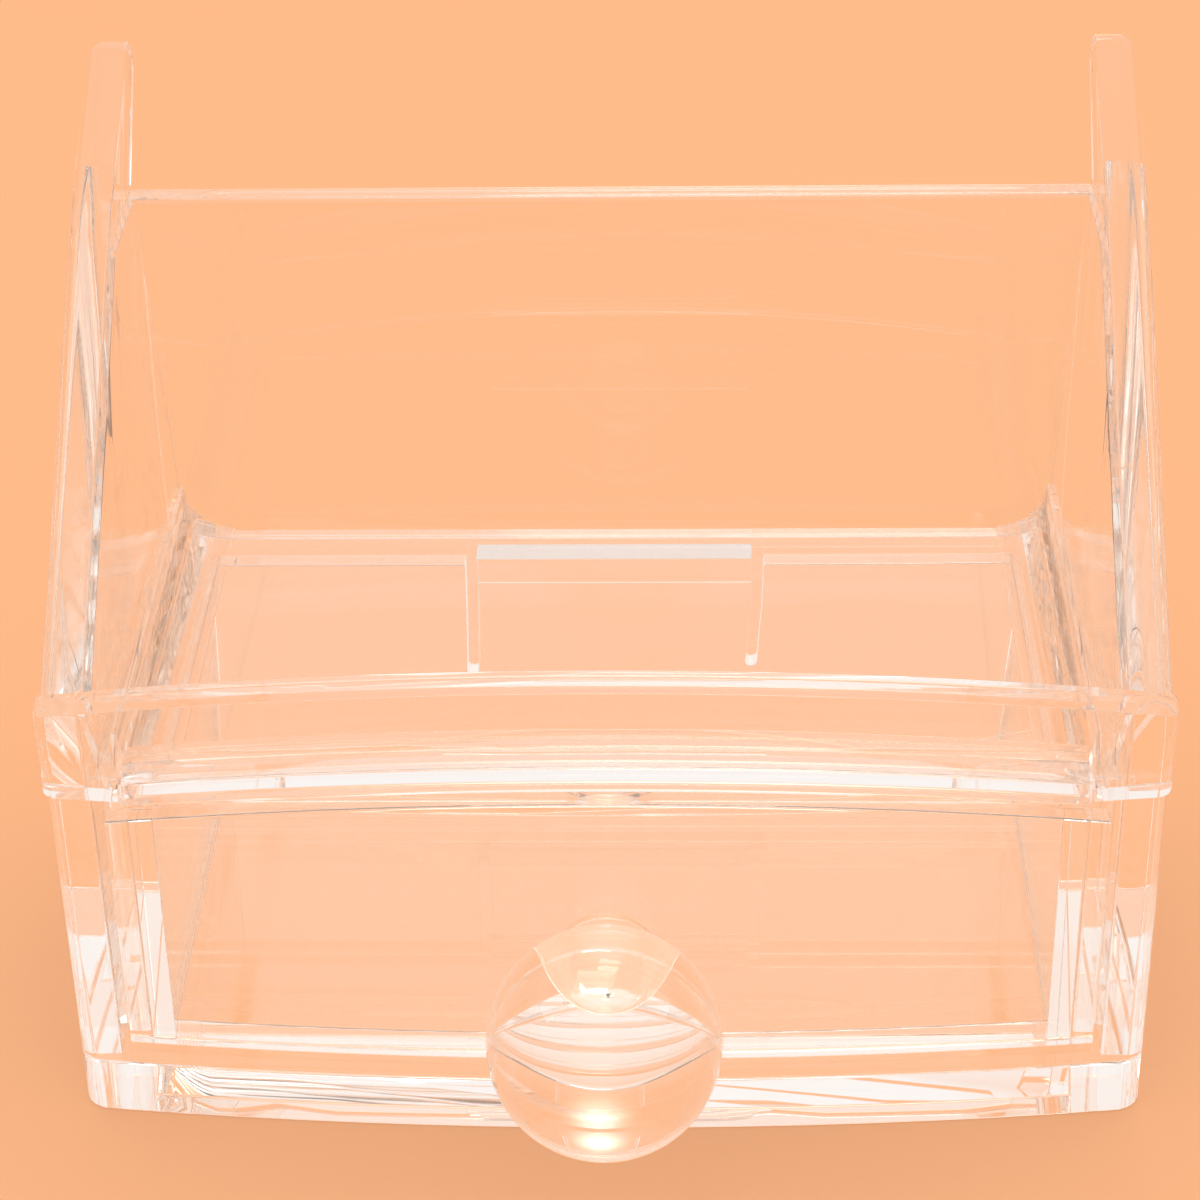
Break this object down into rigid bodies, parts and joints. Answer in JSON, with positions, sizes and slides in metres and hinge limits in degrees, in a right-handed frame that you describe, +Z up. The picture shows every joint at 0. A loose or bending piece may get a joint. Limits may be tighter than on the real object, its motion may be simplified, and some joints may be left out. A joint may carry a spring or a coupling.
{
  "type": "cotton pad holder with drawer",
  "caption": "Clear cotton pad holder: open bin with an arched bow-fronted lip and sloped side panels over a sliding drawer with a clear ball knob.",
  "frame": {"origin": "on the underside of the base plate, midway across its width, near the middle of its depth", "axes": "+X to the object's right as the camera sees it, +Y from the drawer to the back, +Z up"},
  "size_m": [0.135, 0.1105, 0.1142],
  "materials": {
    "clear_housing": "clear moulded styrene, polished",
    "clear_drawer": "clear moulded styrene, polished",
    "clear_knob": "clear solid ball, polished"
  },
  "bodies": {
    "housing": {"base_plate": "clear_housing", "side_panel_left": "clear_housing", "side_panel_right": "clear_housing", "shelf": "clear_housing", "back_wall": "clear_housing", "bay_rear_wall": "clear_housing", "lip_rail": "clear_housing", "header_strip": "clear_housing", "bin_side_left": "clear_housing", "bin_side_right": "clear_housing", "bin_cove_left": "clear_housing", "bin_cove_right": "clear_housing", "bay_cheek_left": "clear_housing", "bay_cheek_right": "clear_housing", "stop_rib": "clear_housing"},
    "drawer": {"drawer_front": "clear_drawer", "drawer_side_left": "clear_drawer", "drawer_side_right": "clear_drawer", "drawer_back": "clear_drawer", "drawer_floor": "clear_drawer", "knob_stem": "clear_knob", "knob_ball": "clear_knob"}
  },
  "joints": [
    {"name": "drawer_slide", "type": "slide", "parent": "housing", "child": "drawer", "axis": [0, -1, 0], "range_m": [0, 0.045]}
  ]
}
